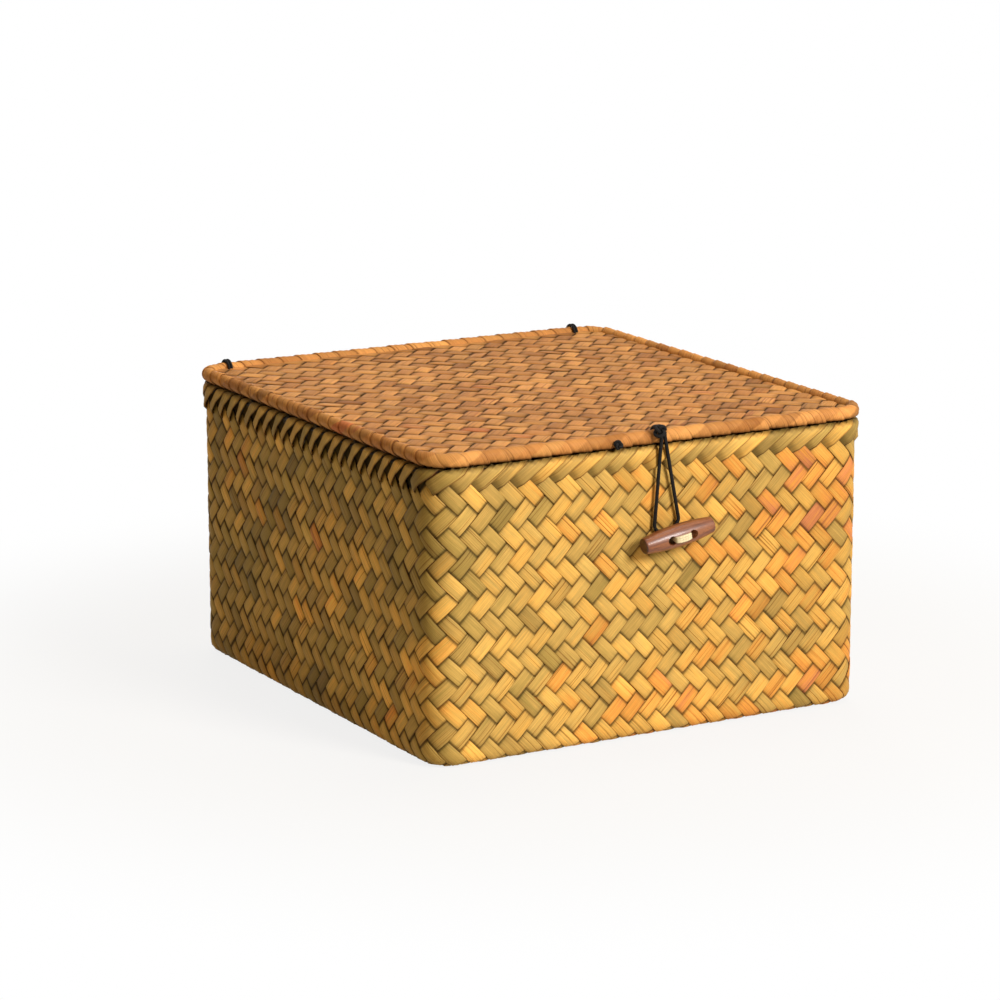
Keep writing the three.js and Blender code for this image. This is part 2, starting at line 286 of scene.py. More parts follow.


# %% [markdown]
# ## Finishes
#
# A finish is one Principled shader and what feeds it. The class keeps the few nodes that all finishes
# share, so that each finish below is only a few sums. Colours are given as on screen, and the
# shader reckons in linear light, so paint turns one into the other.

# %% Describe finishes
class Finish:
    """A material with one Principled shader, and the few texture nodes that the finishes share."""

    def __init__(self, name):
        self.material = bpy.data.materials.new(name)
        self.material.use_nodes = True
        self.tree = self.material.node_tree
        self.shader = self.tree.nodes["Principled BSDF"]

    def node(self, kind, settings=None, inputs=None, output=0):
        return add_node(self.tree, kind, settings, inputs, output)

    def attribute(self, label):
        return self.node("Attribute", {"attribute_name": label}, output="Fac")

    def spot(self):
        return self.node("TexCoord", output="Object")

    def strip_uv(self):
        return self.node("UVMap", {"uv_map": "strip"})

    def parts(self, vector):
        return [self.node("SeparateXYZ", None, {0: vector}, output=axis) for axis in range(3)]

    def stretched(self, vector, factors):
        return self.node("VectorMath", {"operation": "MULTIPLY"}, {0: vector, 1: factors})

    def noise(self, vector, factors, detail, roughness=0.5):
        """Noise that changes as fast along each axis as its factor says."""
        inputs = {"Scale": 1.0, "Detail": detail, "Roughness": roughness}
        return self.node("TexNoise", None, {"Vector": self.stretched(vector, factors), **inputs})

    def ramp(self, value, stops):
        return self.node("ValToRGB", {"stops": stops}, {"Fac": value})

    def tinted(self, factor, first, second):
        return self.node("Mix", {"data_type": "RGBA"}, {0: factor, 6: first, 7: second}, output=2)

    def darker(self, colour, factor):
        """The colour times a grey of the factor's strength."""
        grey = self.node("CombineXYZ", None, {"X": factor, "Y": factor, "Z": factor})
        return self.stretched(grey, colour)

    def bump(self, height, strength, distance):
        inputs = {"Height": height, "Strength": strength, "Distance": distance}
        return self.node("Bump", None, inputs)

    def wear(self, **sockets):
        """Feeds the shader's sockets, named in small letters with lines for spaces."""
        for label, value in sockets.items():
            socket = label.replace("_", " ").title().replace("Ior", "IOR")
            feed(self.tree, self.shader.inputs[socket], value)
        return self.material


def paint(red, green, blue):
    """A colour given as on screen, 0 to 255, as the linear values that shaders use.

    The numbers are those of the usual screen curve: a straight toe, and a power of 2.4 above it.
    """
    screen = np.array([red, green, blue]) / 255
    linear = np.where(screen <= 0.04045, screen / 12.92, ((screen + 0.055) / 1.055) ** 2.4)
    return tuple(float(channel) for channel in linear)


print("full white in a shader:", paint(255, 255, 255))

# %% [markdown]
# ## Cords
#
# The hinge ties and the closing loop are one kind of black braided cord. A cord is a round tube
# carried along a smooth curve. A curve object with a round bevel would do too, but a tube worked out
# here gets a UV map for its braid. Its frame is carried from station to station with the least
# turning, so that the braid doesn't twist by itself.

# %% Make tubes
CORD_SIDES = 12
CORD_STEP = 0.5 * MM
CURVE_CUTS = 12
FIRST_SIDE = (0.3, 0.5, 0.81)
KNOT_POINTS = 90
KNOT_THICK = 0.42
FULL_TURN = 2 * math.pi


def travelled(path):
    """The length of a path up to each of its points."""
    return np.concatenate([[0], np.cumsum(np.linalg.norm(np.diff(path, axis=0), axis=1))])


def curve_through(points, closed=False):
    """A smooth curve through the points, cut into equal steps of its length.

    Between two points the curve is a cubic whose slope at each is half the way between that
    point's neighbours.
    """
    points = np.asarray(points, float)
    if closed:
        padded = np.concatenate([points[-1:], points, points[:2]])
    else:
        padded = np.concatenate([2 * points[:1] - points[1:2], points, 2 * points[-1:] - points[-2:-1]])
    share = np.linspace(0, 1, CURVE_CUTS, endpoint=False)[:, None]
    before, here, there, beyond = (padded[k:len(padded) - 3 + k][:, None, :] for k in range(4))
    fine = here + share * (there - before) / 2
    fine = fine + share**2 * (before - 2.5 * here + 2 * there - beyond / 2)
    fine = fine + share**3 * (1.5 * (here - there) + (beyond - before) / 2)
    fine = np.concatenate([fine.reshape(-1, 3), points[:1] if closed else points[-1:]])
    length = travelled(fine)
    wanted = np.linspace(0, length[-1], round(length[-1] / CORD_STEP), endpoint=not closed)
    return np.stack([np.interp(wanted, length, fine[:, axis]) for axis in range(3)], axis=1)


def tube_grid(path, thick, closed):
    """A round section at every point of a path, with its along and around distances."""
    if closed:
        ahead = np.roll(path, -1, axis=0) - np.roll(path, 1, axis=0)
    else:
        ahead = np.gradient(path, axis=0)
    ahead /= np.linalg.norm(ahead, axis=1, keepdims=True)
    carried = np.cross(ahead[0], FIRST_SIDE)
    side = []
    for direction in ahead:
        carried = carried - direction * (carried @ direction)
        carried = carried / np.linalg.norm(carried)
        side.append(carried)
    side = np.array(side)
    other = np.cross(ahead, side)
    angle = np.linspace(0, FULL_TURN, CORD_SIDES, endpoint=False)
    ring = side[:, None] * np.cos(angle)[:, None] + other[:, None] * np.sin(angle)[:, None]
    return (path[:, None] + thick / 2 * ring)[None], travelled(path)[:, None], angle / FULL_TURN


def tubes(name, paths, thick, closed=False):
    """One piece from tubes of a thickness along paths, with a UV map along and around them."""
    grids, along, around = zip(*(tube_grid(path, thick, closed) for path in paths))
    return grid_mesh(name, list(grids), closed, along, around)


def trefoil(middle, first, second, third, size):
    """A closed overhand knot: a curve that winds twice round a ring while it bobs three times."""
    turn = np.linspace(0, FULL_TURN, KNOT_POINTS, endpoint=False)
    reach = (2 + np.cos(3 * turn)) / 3
    flat = np.outer(reach * np.cos(2 * turn), first) + np.outer(reach * np.sin(2 * turn), second)
    return middle + size * (flat + np.outer(np.sin(3 * turn), third) * KNOT_THICK)


print("a tube has", CORD_SIDES, "sides and a station every", CORD_STEP / MM, "mm")

# %% [markdown]
# ## Braid
#
# Two sets of strands wind round the cord in opposite ways. Each is a slanted wave on the tube's UV
# map, and the waves' product makes the braid's small diamonds. A picture of a braid would do, but it
# would blur from close by.

# %% Braid the cord
BRAID_ALONG = 5200
BRAID_ROUND = 3
CORD_COLOUR = (17, 14, 12)
CORD_SHADE = 0.75
BRAID_SHADE = 0.3
FUZZ_SHADE = 0.4
CORD_ROUGH = 0.65
FUZZ_ROUGH = 0.2
CORD_SHINE = 0.2

# A bump's strength and distance, and a noise's factors and detail
CORD_BUMP = (0.6, 0.15 * MM)
FUZZ = (2400, 2400, 2400), 3.0


def cord_finish():
    """Braided cord: two sets of strands wind opposite ways, so two slanted waves are multiplied."""
    finish = Finish("black_cord")
    run, turn, _ = finish.parts(finish.strip_uv())
    winding = turn * (FULL_TURN * BRAID_ROUND)
    braid = (run * BRAID_ALONG + winding).sine() * (run * BRAID_ALONG - winding).sine()
    fuzz = finish.noise(finish.spot(), *FUZZ)
    shade = CORD_SHADE + braid * BRAID_SHADE + fuzz * FUZZ_SHADE
    return finish.wear(
        base_color=finish.darker(paint(*CORD_COLOUR), shade),
        roughness=CORD_ROUGH + fuzz * FUZZ_ROUGH,
        normal=finish.bump(braid + fuzz * FUZZ_SHADE, *CORD_BUMP),
        specular_ior_level=CORD_SHINE,
    )


black_cord = cord_finish()
print("finish:", black_cord.name)

# %% [markdown]
# ## The closing loop
#
# The loop comes over the lid's front edge from a knot, runs down the wall on two straight legs and
# turns behind the toggle. When the lid opens, its top stays with the lid and the rest swings. Two
# pieces would part there, so it is one tube.

# %% Hang the loop
LOOP_X = 1 * MM
LOOP_LEFT = -2.7 * MM
LOOP_RIGHT = 11 * MM
LOOP_OFF_WALL = 0.7 * MM
LOOP_BOTTOM_Z = 105.45 * MM
LOOP_BEND = 3.9 * MM
LOOP_APART = 2.1 * MM
OVER_ROLL = np.linspace(75, 180, 8)
INTO_MAT = np.linspace(74, -28, 9)
LEG_SHARES = np.linspace(0.12, 0.9, 6)
BEND_POINTS = 5
TOGGLE_TILT = math.radians(9.5)


def on_front_roll(side, turns):
    """One of the loop's two ends round the lid's front edge, at degrees up from its inner side."""
    angle = np.radians(turns)
    return np.stack([
        np.full_like(angle, LOOP_X + side * LOOP_APART / 2),
        front_axis[1] + cord_ring * np.cos(angle),
        front_axis[2] + cord_ring * np.sin(angle),
    ], axis=1)


def loop_route():
    """Over the roll, down the left leg, round two bends that lean with the toggle, and back up."""
    middle, half = (LOOP_LEFT + LOOP_RIGHT) / 2, (LOOP_RIGHT - LOOP_LEFT) / 2
    quarter = np.linspace(0, math.pi / 2, BEND_POINTS)
    angle = np.concatenate([quarter, quarter + math.pi / 2])
    bend_middle = np.repeat([-1, 1], BEND_POINTS) * (half - LOOP_BEND)
    across = bend_middle - LOOP_BEND * np.cos(angle)
    turn = np.stack([
        middle + across,
        np.full_like(angle, basket_low[1] - LOOP_OFF_WALL - CORD / 2),
        LOOP_BOTTOM_Z + across * math.tan(TOGGLE_TILT) + LOOP_BEND * (1 - np.sin(angle)),
    ], axis=1)
    over = [on_front_roll(side, OVER_ROLL) for side in (-1, 1)]
    share = LEG_SHARES[:, None]
    legs = [top[-1] * (1 - share) + end * share for top, end in zip(over, (turn[0], turn[-1]))]
    route = np.concatenate([over[0], legs[0], turn, legs[1][::-1], over[1][::-1]])
    return curve_through(route)


loop_path = loop_route()
loop = tubes("closure_cord", [loop_path], CORD)
loop.data.materials.append(black_cord)
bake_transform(loop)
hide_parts("closure_loop")

# %% [markdown]
# ## Knots and ties
#
# The loop's ends are knotted at the lid's edge, and one short tail end shows beside it. At the back,
# two doubled cords tie the lid to the basket, through the wall under the rim wire. A knot could be
# drawn point by point, but a trefoil, an overhand knot with joined ends, has a short formula.

# %% Tie the knots
LOOP_KNOT = 3.1 * MM
LOOP_KNOT_X = -1.2 * MM
LOOP_KNOT_TURN = math.radians(145)
LOOP_KNOT_OFF = 0.75
TAIL_KNOT = 1.9 * MM
TAIL_CORD = 0.8 * CORD
TAIL_PRESS = 0.6 * MM
TAIL_UP = np.array([0, 0.3, 0.95])
TAIL_OUT = np.array([0, 0.95, -0.3])
TIE_KNOT = 2.4 * MM
TIE_KNOT_OFF = 0.8
TIE_BEND = 2.3 * MM
TIE_CORD = 1.4 * MM
TIE_APART = 1.04 * TIE_CORD
TIE_DROP = 8 * MM
TIE_OVER = np.radians(np.linspace(0, 180, 13))
TIE_CORNER = np.radians(np.linspace(180, 270, 5))
TIE_LEG = np.linspace(0.25, 0.75, 3)

tie_ring = roll_radius + SEAT + TIE_CORD / 2
tie_low_z = rim_wire_z + WALL - TIE_DROP


def knot_on_roll(x, turn, size):
    """A knot that lies against the front roll at an angle turned up from the roll's inner side."""
    out = np.array([0, math.cos(turn), math.sin(turn)])
    middle = np.array([x, *front_axis[1:]]) + out * (roll_radius + SEAT + size * LOOP_KNOT_OFF)
    return trefoil(middle, ACROSS, np.cross(out, ACROSS), out, size)


def tie_turn(x):
    """One turn of cord: half a circle over the rear roll, and a square turn through the wall."""
    over = tie_ring * np.stack([np.cos(TIE_OVER), np.sin(TIE_OVER)], axis=1)
    near = np.stack([
        TIE_BEND - tie_ring + TIE_BEND * np.cos(TIE_CORNER),
        TIE_BEND - (lid_z - tie_low_z) + TIE_BEND * np.sin(TIE_CORNER),
    ], axis=1)
    legs = over[-1] + TIE_LEG[:, None] * (near[0] - over[-1])
    mirrored = np.array([-1, 1])
    flat = np.concatenate([over, legs, near, near[::-1] * mirrored, legs[::-1] * mirrored])
    points = np.stack([np.full(len(flat), x), rear_axis[1] + flat[:, 0], lid_z + flat[:, 1]], axis=1)
    return curve_through(points, closed=True)


def hinge_tie(name, node):
    """Two turns of cord side by side, and a knot against them at the back."""
    middle = node_middle(node)[0]
    spot = np.array([middle, rear_axis[1] + tie_ring + TIE_KNOT * TIE_KNOT_OFF, (lid_z + tie_low_z) / 2])
    knot = trefoil(spot, ACROSS, UPWARD, BACKWARD, TIE_KNOT)
    turns = [tie_turn(middle + side * TIE_APART / 2) for side in (-1, 1)]
    tie = tubes(name, [*turns, knot], TIE_CORD, closed=True)
    return place(tie, "basket", "black_cord", black_cord, node)


hinge_tie("tie_cord_left", "hinge_tie_left")
hinge_tie("tie_cord_right", "hinge_tie_right")
knot_path = knot_on_roll(LOOP_KNOT_X, LOOP_KNOT_TURN, LOOP_KNOT)
loop_knot = tubes("loop_cord_knot", [knot_path], CORD, closed=True)
place(loop_knot, "lid", "black_cord", black_cord, "loop_knot")
tail_middle = node_middle("loop_tail_knot") + TAIL_PRESS * BACKWARD
tail = trefoil(tail_middle, ACROSS, TAIL_UP, TAIL_OUT, TAIL_KNOT)
tail_knot = tubes("tail_cord_knot", [tail], TAIL_CORD, closed=True)
place(tail_knot, "lid", "black_cord", black_cord, "loop_tail_knot")
inner_ends = [curve_through(on_front_roll(side, INTO_MAT)) for side in (-1, 1)]
place(tubes("loop_cord_ends", inner_ends, CORD), "lid", "black_cord", black_cord)

# %% [markdown]
# ## Rush
#
# Dried rush is a leaf: long fine fibres, a waxy sheen, and colours from olive through straw to
# orange, which change from strip to strip. Each strip carries its own tone as an attribute, so a
# neighbour differs from the next, and the UV map runs along the leaf, so the fibres do too. Where a
# strip dives under its neighbours, and along its edges, painted shade darkens its colour.

# %% Make the rush finishes
# Noises by their factors along and across the leaf, their detail and their roughness
FIBRE = (45, 2600, 1), 3.0, 0.7
STREAK = (9, 900, 1), 2.0, 0.6
BLOTCH = (60, 220, 1), 2.0, 0.5
STREAK_TONE = 0.55
BLOTCH_TONE = 0.45
SPLIT_RISE = (0.58, 0.68)
SPLIT_DARK = 0.6
# Where the painted shade along a strip's edges begins and where it is full
EDGE_RISE = (0.88, 1.0)
LEAF_SHADE = 0.4
FIBRE_SHADE = 1.2
LEAF_ROUGH = 0.5
FIBRE_ROUGH = 0.2
DIP_ROUGH = 0.2
FIBRE_RELIEF = 0.7
STREAK_RELIEF = 0.6
LEAF_BUMP = (0.5, 0.25 * MM)
LEAF_SHINE = 0.1
BODY_LEAF = [
    (0.0, (158, 130, 66)),
    (0.3, (190, 152, 80)),
    (0.55, (218, 166, 80)),
    (0.78, (224, 150, 66)),
    (1.0, (206, 128, 78)),
]
LID_LEAF = [
    (0.0, (142, 88, 40)),
    (0.35, (180, 121, 64)),
    (0.75, (202, 143, 78)),
    (1.0, (178, 104, 58)),
]


def rush_finish(name, leaf_colours, split_and_shade_colour, edge_shade, shaded):
    """Leaf colours by tone, dark lengthwise lines where the leaf splits, and painted shade at edges and
    dips.
    """
    finish = Finish(name)
    uv = finish.strip_uv()
    tone, light, dip, rim = (finish.attribute(label) for label in ("tone", "light", "dip", "rim"))
    fibre, streak, blotch = (finish.noise(uv, *grain) for grain in (FIBRE, STREAK, BLOTCH))
    mottled = tone + (streak - 0.5) * STREAK_TONE + (blotch - 0.5) * BLOTCH_TONE
    leaf = finish.ramp(mottled.clamped(), leaf_colours)
    # Painted shade: dark lines along each strip's edges stand for the shadow in the gaps between strips;
    # the split lines are the leaf's own
    split = (streak.step_up(*SPLIT_RISE) * SPLIT_DARK + rim.step_up(*EDGE_RISE) * edge_shade).clamped()
    colour = finish.tinted(split, leaf, (*paint(*split_and_shade_colour), 1.0))
    # Painted shade where the strip dives under its neighbours, by its dip
    shade = light * (LEAF_SHADE + fibre * FIBRE_SHADE) * (1 - dip * shaded)
    height = fibre * FIBRE_RELIEF + streak * STREAK_RELIEF - split
    return finish.wear(
        base_color=finish.darker(colour, shade),
        roughness=LEAF_ROUGH + fibre * FIBRE_ROUGH + dip * DIP_ROUGH,
        specular_ior_level=LEAF_SHINE,
        normal=finish.bump(height, *LEAF_BUMP),
    )


body_rush = rush_finish("body_rush", BODY_LEAF, split_and_shade_colour=(88, 46, 12), edge_shade=0.7, shaded=0.88)
lid_rush = rush_finish("lid_rush", LID_LEAF, split_and_shade_colour=(84, 38, 12), edge_shade=0.55, shaded=1.0)
print("finishes:", body_rush.name, lid_rush.name)

# %% [markdown]
# ## Walking round the box
#
# A rounded square has straight runs and quarter turns. Walking along it at a steady pace gives a
# point and an outward direction for any distance, and every strip, fold and binding is built on it.

# %% Walk round a rounded square
def way_round(half, corner):
    """The length of a rounded rectangle's outline with these half sides and corner radius."""
    return 4 * (half - corner).sum() + FULL_TURN * corner


def walk(distance, half, corner):
    """Point and outward direction after a distance from the front's middle, anticlockwise from above.

    The outline is cut into four sides, each a straight run and the quarter turn after it. On the run
    the heading stays, and on the turn it grows by the distance over the radius. A point lies a radius
    out from its turn's pivot, and behind that by what is left of the run.
    """
    runs = 2 * np.tile(half - corner, 2)
    turn = math.pi / 2 * corner
    ends = np.cumsum(runs + turn)
    into_way = np.mod(distance + half[0] - corner, ends[-1])
    side = np.searchsorted(ends, into_way, side="right") % 4
    short_of_turn = (ends - turn)[side] - into_way
    first = side * math.pi / 2
    heading = first + np.maximum(-short_of_turn, 0) / corner
    pivots = np.array([[1, -1], [1, 1], [-1, 1], [-1, -1]]) * (half - corner)
    ahead = np.stack([np.cos(first), np.sin(first)], axis=-1)
    out = np.stack([np.sin(heading), -np.cos(heading)], axis=-1)
    return pivots[side] + corner * out - ahead * np.maximum(short_of_turn, 0)[..., None], out


def stood(plan, out, reach, height):
    """Points a reach outwards from the plan's outline and at a height."""
    return np.concatenate([plan + out * reach[..., None], height[..., None]], axis=-1)


wall_way = way_round(wall_half, wall_corner)
lid_way = way_round(lid_half, lid_corner)
print("way round the wall and the lid, mm:", round(wall_way / MM, 1), round(lid_way / MM, 1))

# %% [markdown]
# ## The weave
#
# Some ninety strips rise to the right and as many to the left. Each passes over two crossing strips
# and then under two, and because neighbours keep step, the floats line up in level rows that lean
# one way and then the other. A plain sine wave would do for a strip's height, but rush lies flat and
# dives quickly, so the wave is squared off. Places along a strip are counted in crossings, half a
# pitch each.

# %% Set out the weave
PITCH_WANTED = 10.56 * MM
STRIP_THICK = 1.0 * MM

# A strip's section from edge to edge and from its back to its front, as shares of its half sizes
LEAF_SIDE = np.array([-1, -0.84, -0.3, 0.3, 0.84, 1, 0.5, -0.5])
LEAF_UP = np.array([0.1, 0.86, 1, 1, 0.86, 0.1, -1, -1])

# Stations within two crossings, closest where a strip dives
STATIONS = np.array([0.0, 0.5, 1.0, 1.3, 1.44, 1.56, 1.7])
OVER = 0.55 * MM
SNAP = 2.6
ROOT_TWO = math.sqrt(2)
WANDER_WAVES = (9.0, 17.0, 31.0)

columns = round(wall_way / PITCH_WANTED)
column = np.arange(columns)[:, None, None]
pitch = wall_way / columns
strip_half = pitch / ROOT_TWO / 2


def over_under(crossing):
    """1 where a strip lies over and -1 where it lies under, two crossings each, with quick changes."""
    wave = np.cos(math.pi / 2 * (crossing - 0.5))
    return np.tanh(SNAP * wave) / math.tanh(SNAP)


def stations_between(first, last):
    """The stations of all periods of two crossings between two places, closest where a strip dives."""
    periods = np.arange(math.floor(first / 2), math.ceil(last / 2) + 1)
    crossing = (2 * periods[:, None] + STATIONS).ravel()
    return crossing[(crossing >= first) & (crossing <= last)]


def wander(strips, crossing, size):
    """A slow sideways drift for every strip: three sine waves with phases of their own."""
    drift = np.zeros((strips, len(crossing)))
    for wavelength in WANDER_WAVES:
        phase = random.uniform(0, FULL_TURN, (strips, 1))
        drift += np.sin(FULL_TURN * crossing / wavelength + phase) / len(WANDER_WAVES)
    return size * drift


def float_numbers(crossing):
    """Numbers each visible or hidden stretch of a strip, which all change where the strip dives."""
    number = np.floor((crossing + 0.5) / 2).astype(int)
    return number - number.min()


def draw(strips, number, middle, spread, own):
    """One value for each float: the strip's own draw, and another for each of its floats."""
    strip = random.normal(middle, spread, (strips, 1))
    return (strip + random.normal(0, own, (strips, number.max() + 1)))[:, number]


print("strips each way:", columns, "pitch in mm:", round(pitch / MM, 2))

# %% [markdown]
# ## The form of the walls
#
# The walls stand straight and turn under the base on a round foot. A strip only asks how far in, how
# high and how steep the wall is after a distance down from the rim. Bending flat strips afterwards would
# do too, but this way their distances stay true. The left side is plaited more loosely in the
# photograph, so another function says how far a place belongs to it.

# %% Shape the walls
TOP_ROW_Z = 138 * MM
TOP_ROW = 1.5

# The left side's middle and half width as shares of the way round, and how square its ends are
LEFT_MIDDLE = 0.74
LEFT_WIDE = 0.13
LEFT_SQUARE = 8


def on_left(distance):
    """1 along the left side and 0 on the others, with a smooth change round its corners."""
    from_middle = np.mod(distance / wall_way - LEFT_MIDDLE + 0.5, 1) - 0.5
    return np.exp(-((from_middle / LEFT_WIDE) ** LEFT_SQUARE))


def wall_profile(down):
    """Inset, height and slope of the wall's middle surface after a distance down from the rim wire.

    It runs straight down, then round a quarter circle, then level under the base.
    """
    bend = FOOT_RADIUS - WALL / 2
    straight = rim_wire_z - FOOT_RADIUS
    slope = np.clip((down - straight) / bend, 0, math.pi / 2)
    level = np.maximum(down - straight - bend * math.pi / 2, 0)
    inset = bend * (1 - np.cos(slope)) + level
    return inset, rim_wire_z - np.minimum(down, straight) - bend * np.sin(slope), slope


print("the top row starts", round((rim_wire_z - TOP_ROW_Z) / MM, 1), "mm below the rim wire")

# %% [markdown]
# ## The walls
#
# A strip is thin and flat with soft edges, moved outwards where it passes over and inwards where it
# passes under. On the looser left side the strips under the rim change places later, and painted shade
# along their edges makes dark cracks. A bump on a plain shell would be quicker, but has no edges that
# catch the light.

# %% Weave the walls
RISING_FROM = TOP_ROW + 0.1
LAST_CROSSING = 29
WALL_WIDTHS = (0.98, 1.07)
WALL_WANDER = 0.38 * MM

# A draw's middle, its spread from strip to strip and its spread from float to float
WALL_TILT = (0, 0.03 * MM, 0.09 * MM)
WALL_SWELL = (0, 0.03 * MM, 0.09 * MM)
WALL_TONE = (0.41, 0.11, 0.11)
WALL_LIGHT = (0, 0.04, 0.08)

# By how many crossings strips dive later on the left, and where that ends
LEFT_LATER = 0.9
LATER_ENDS = 3.5
LATER_FADES = 2

# The shade that the folded rim leaves on the strips below it
UNDER_FOLD = 1.2
UNDER_RISING = 0.25
UNDER_RATE = 4
FOLD_DARK = 0.12
LEAF_BAND = 50 * MM

# Slow changes over the walls: of tone, of painted light and shade, and painted shade in cracks and dips
WARMER_RIGHT = 0.16
WARMER_LOW = 0.1
PATCH_TONE = 0.14
PATCH_ROUND = 31 * MM
PATCH_START = 2
PATCH_DOWN = 19 * MM
PATCH_SLANT = 83 * MM
PLAIN_LIGHT = 0.99
LEFT_LIGHT = 0.02
RIGHT_DARK = 0.13
TOP_DARK = 0.07
CRACK_FROM = 0.8
CRACK_DARK = 0.85
WALL_DIP = 3


def wall_look(grid, distance, down, number):
    """Tone and light of the wall's floats.

    Both are a draw for each float and slow changes over the wall: warmer to the right and below,
    darker to the right and above as painted shade, and in slanting patches. The light also carries
    painted shade along the strips' edges on the left side, as dark cracks.
    """
    to_right, higher = grid[..., 0] / wall_half[0], grid[..., 2] / rim_wire_z
    warm = WARMER_RIGHT * to_right + WARMER_LOW * (0.5 - higher)
    slanted = np.cos(down / PATCH_DOWN + distance / PATCH_SLANT)
    patch = PATCH_TONE * np.sin(distance / PATCH_ROUND + PATCH_START) * slanted
    tone = draw(columns, number, *WALL_TONE)[..., None] + warm + patch
    left = on_left(distance)
    uneven = draw(columns, number, *WALL_LIGHT)[..., None] * (1 + left)
    # Painted shade: darker to the right and above, and along the left side's strip edges as cracks
    painted_gradient = PLAIN_LIGHT + LEFT_LIGHT * left - RIGHT_DARK * to_right - TOP_DARK * higher
    crack_shade = left * np.clip((np.abs(LEAF_SIDE) - CRACK_FROM) / (1 - CRACK_FROM), 0, 1)
    return tone, (painted_gradient + uneven) * (1 - CRACK_DARK * crack_shade)


def wall_strips(name, lean, first):
    """Strips that rise to the right (lean 1) or to the left (lean -1), from a first crossing down.

    Going down by one crossing, half a pitch, a strip moves sideways by as much. Across the strip,
    both distances change together, so that its edges run parallel to it.
    """
    crossing = stations_between(first, LAST_CROSSING)
    number = float_numbers(crossing)
    weave = over_under(crossing)
    half = strip_half * random.uniform(*WALL_WIDTHS, (columns, 1, 1))
    side = half * LEAF_SIDE + wander(columns, crossing, WALL_WANDER)[..., None]
    place_on = crossing[:, None]
    drop = rim_wire_z - TOP_ROW_Z - TOP_ROW * pitch / 2
    down = place_on * pitch / 2 + lean * side / ROOT_TWO + drop
    distance = (column - lean * place_on / 2) * pitch + side / ROOT_TWO
    later = LEFT_LATER * on_left(distance)
    shown = place_on + lean * later * np.clip((LATER_ENDS - place_on) / LATER_FADES, 0, 1)
    tilt = draw(columns, number, *WALL_TILT)[..., None] * LEAF_SIDE
    swell = (draw(columns, number, *WALL_SWELL) * np.abs(weave))[..., None]
    lift = lean * OVER * over_under(shown) + swell + LEAF_UP * STRIP_THICK / 2 + tilt
    inset, height, slope = wall_profile(down)
    plan, out = walk(distance, wall_half, wall_corner)
    grid = stood(plan, out, lift * np.cos(slope) - inset, height - lift * np.sin(slope))
    tone, light = wall_look(grid, distance, down, number)
    fold_ends = UNDER_FOLD + (1 + UNDER_RISING * lean) * later
    under_fold = np.clip(UNDER_RATE * (place_on - fold_ends), FOLD_DARK, 1)
    return one_grid_mesh(
        name,
        grid,
        along=place_on * pitch / ROOT_TWO,
        across=side + column * LEAF_BAND,
        tone=tone,
        light=light * under_fold,
        dip=(1 - weave[:, None] ** 2) ** WALL_DIP,
        rim=np.abs(LEAF_SIDE),
    )


rising = wall_strips("wall_strips_rising", 1, RISING_FROM)
falling = wall_strips("wall_strips_falling", -1, 0.0)
place(rising, "basket", "rush", body_rush, "woven_basket")
place(falling, "basket", "rush", body_rush)

# %% [markdown]
# ## The folded rim
#
# At the top, the rising strips are bent over a wire hoop and tucked down inside. They lean over more
# than the weave, and each laps the next like a roof tile. On the left side they stand up more
# steeply, reach lower and get narrower downwards, so that dark gaps open between them. Because their
# lean isn't the weave's, they are strips of their own and not the ends of the wall's.

# %% Fold the rim
FOLD_RING = 1.9 * MM
FOLD_TUCK = 10 * MM
FOLD_OUT = 1.3 * MM
FOLD_DIVE = 1.3 * MM
FOLD_DEEP = 0.6 * MM
FOLD_INSIDE = 15 * MM
FOLD_LAP = 0.5 * MM
FOLD_STEP = 1.1 * MM
FOLD_WIDTHS = (1.0, 1.2)
FOLD_LEAN = math.radians(36)
LEAN_SPREAD = 0.05

# How the left side's strips differ from the others
LEFT_LONGER = 6.1 * MM
LEFT_STEEPER = math.radians(19)
LEFT_NARROWER = 0.36
NARROW_FROM = 1.4

# Tone and light, each drawn with a middle and a spread, and what shades the fold
FOLD_TONE = (0.3, 0.14)
FOLD_WARMER = 0.1
FOLD_LIGHT = (0.72, 0.09)
CREASE_LIGHT = 0.4
STEEP_LIGHT = 0.25
BEND_LIGHT = 0.4
FLAP_LIGHT = 0.25
FLAP_FROM = 2
TURN_LIGHT = 1.45
TURN_DARK = 1.3
FOLD_DIP = 0.7
FOLD_EDGE = 0.4

fold_rise = rim_wire_z - TOP_ROW_Z


def fold_profile(climb, past_start):
    """Reach, height and turn of the fold's middle after a distance up from the top row's lower edge.

    It comes out from under the row, runs up, goes round the wire in half a circle and down inside.
    It comes out square to the strip, at a station of its own, so that doesn't depend on the climb.
    """
    turn = np.clip((climb - fold_rise) / FOLD_RING, 0, math.pi)
    inside = np.maximum(climb - fold_rise - math.pi * FOLD_RING, 0)
    out = np.clip((past_start + FOLD_DIVE) / (2 * FOLD_DIVE), 0, 1)
    ring = FOLD_RING * (out * out * (3 - 2 * out)) - FOLD_DEEP * (1 - out)
    height = TOP_ROW_Z + np.minimum(climb, fold_rise) + FOLD_RING * np.sin(turn) - inside
    return ring * np.cos(turn), height, turn


def fold_shade(climb, turn, steep):
    """Brighter at the crease and on the left, and darker over the wire and on the hidden faces."""
    crease = np.clip(2 * climb / fold_rise - 1, 0, 1)
    flap = BEND_LIGHT + FLAP_LIGHT * np.clip(turn - FLAP_FROM, 0, 1)
    hidden = np.clip(TURN_LIGHT - TURN_DARK * turn, np.where(LEAF_UP > 0, flap, FOLD_DARK), 1)
    return hidden * (1 + CREASE_LIGHT * crease + STEEP_LIGHT * steep)


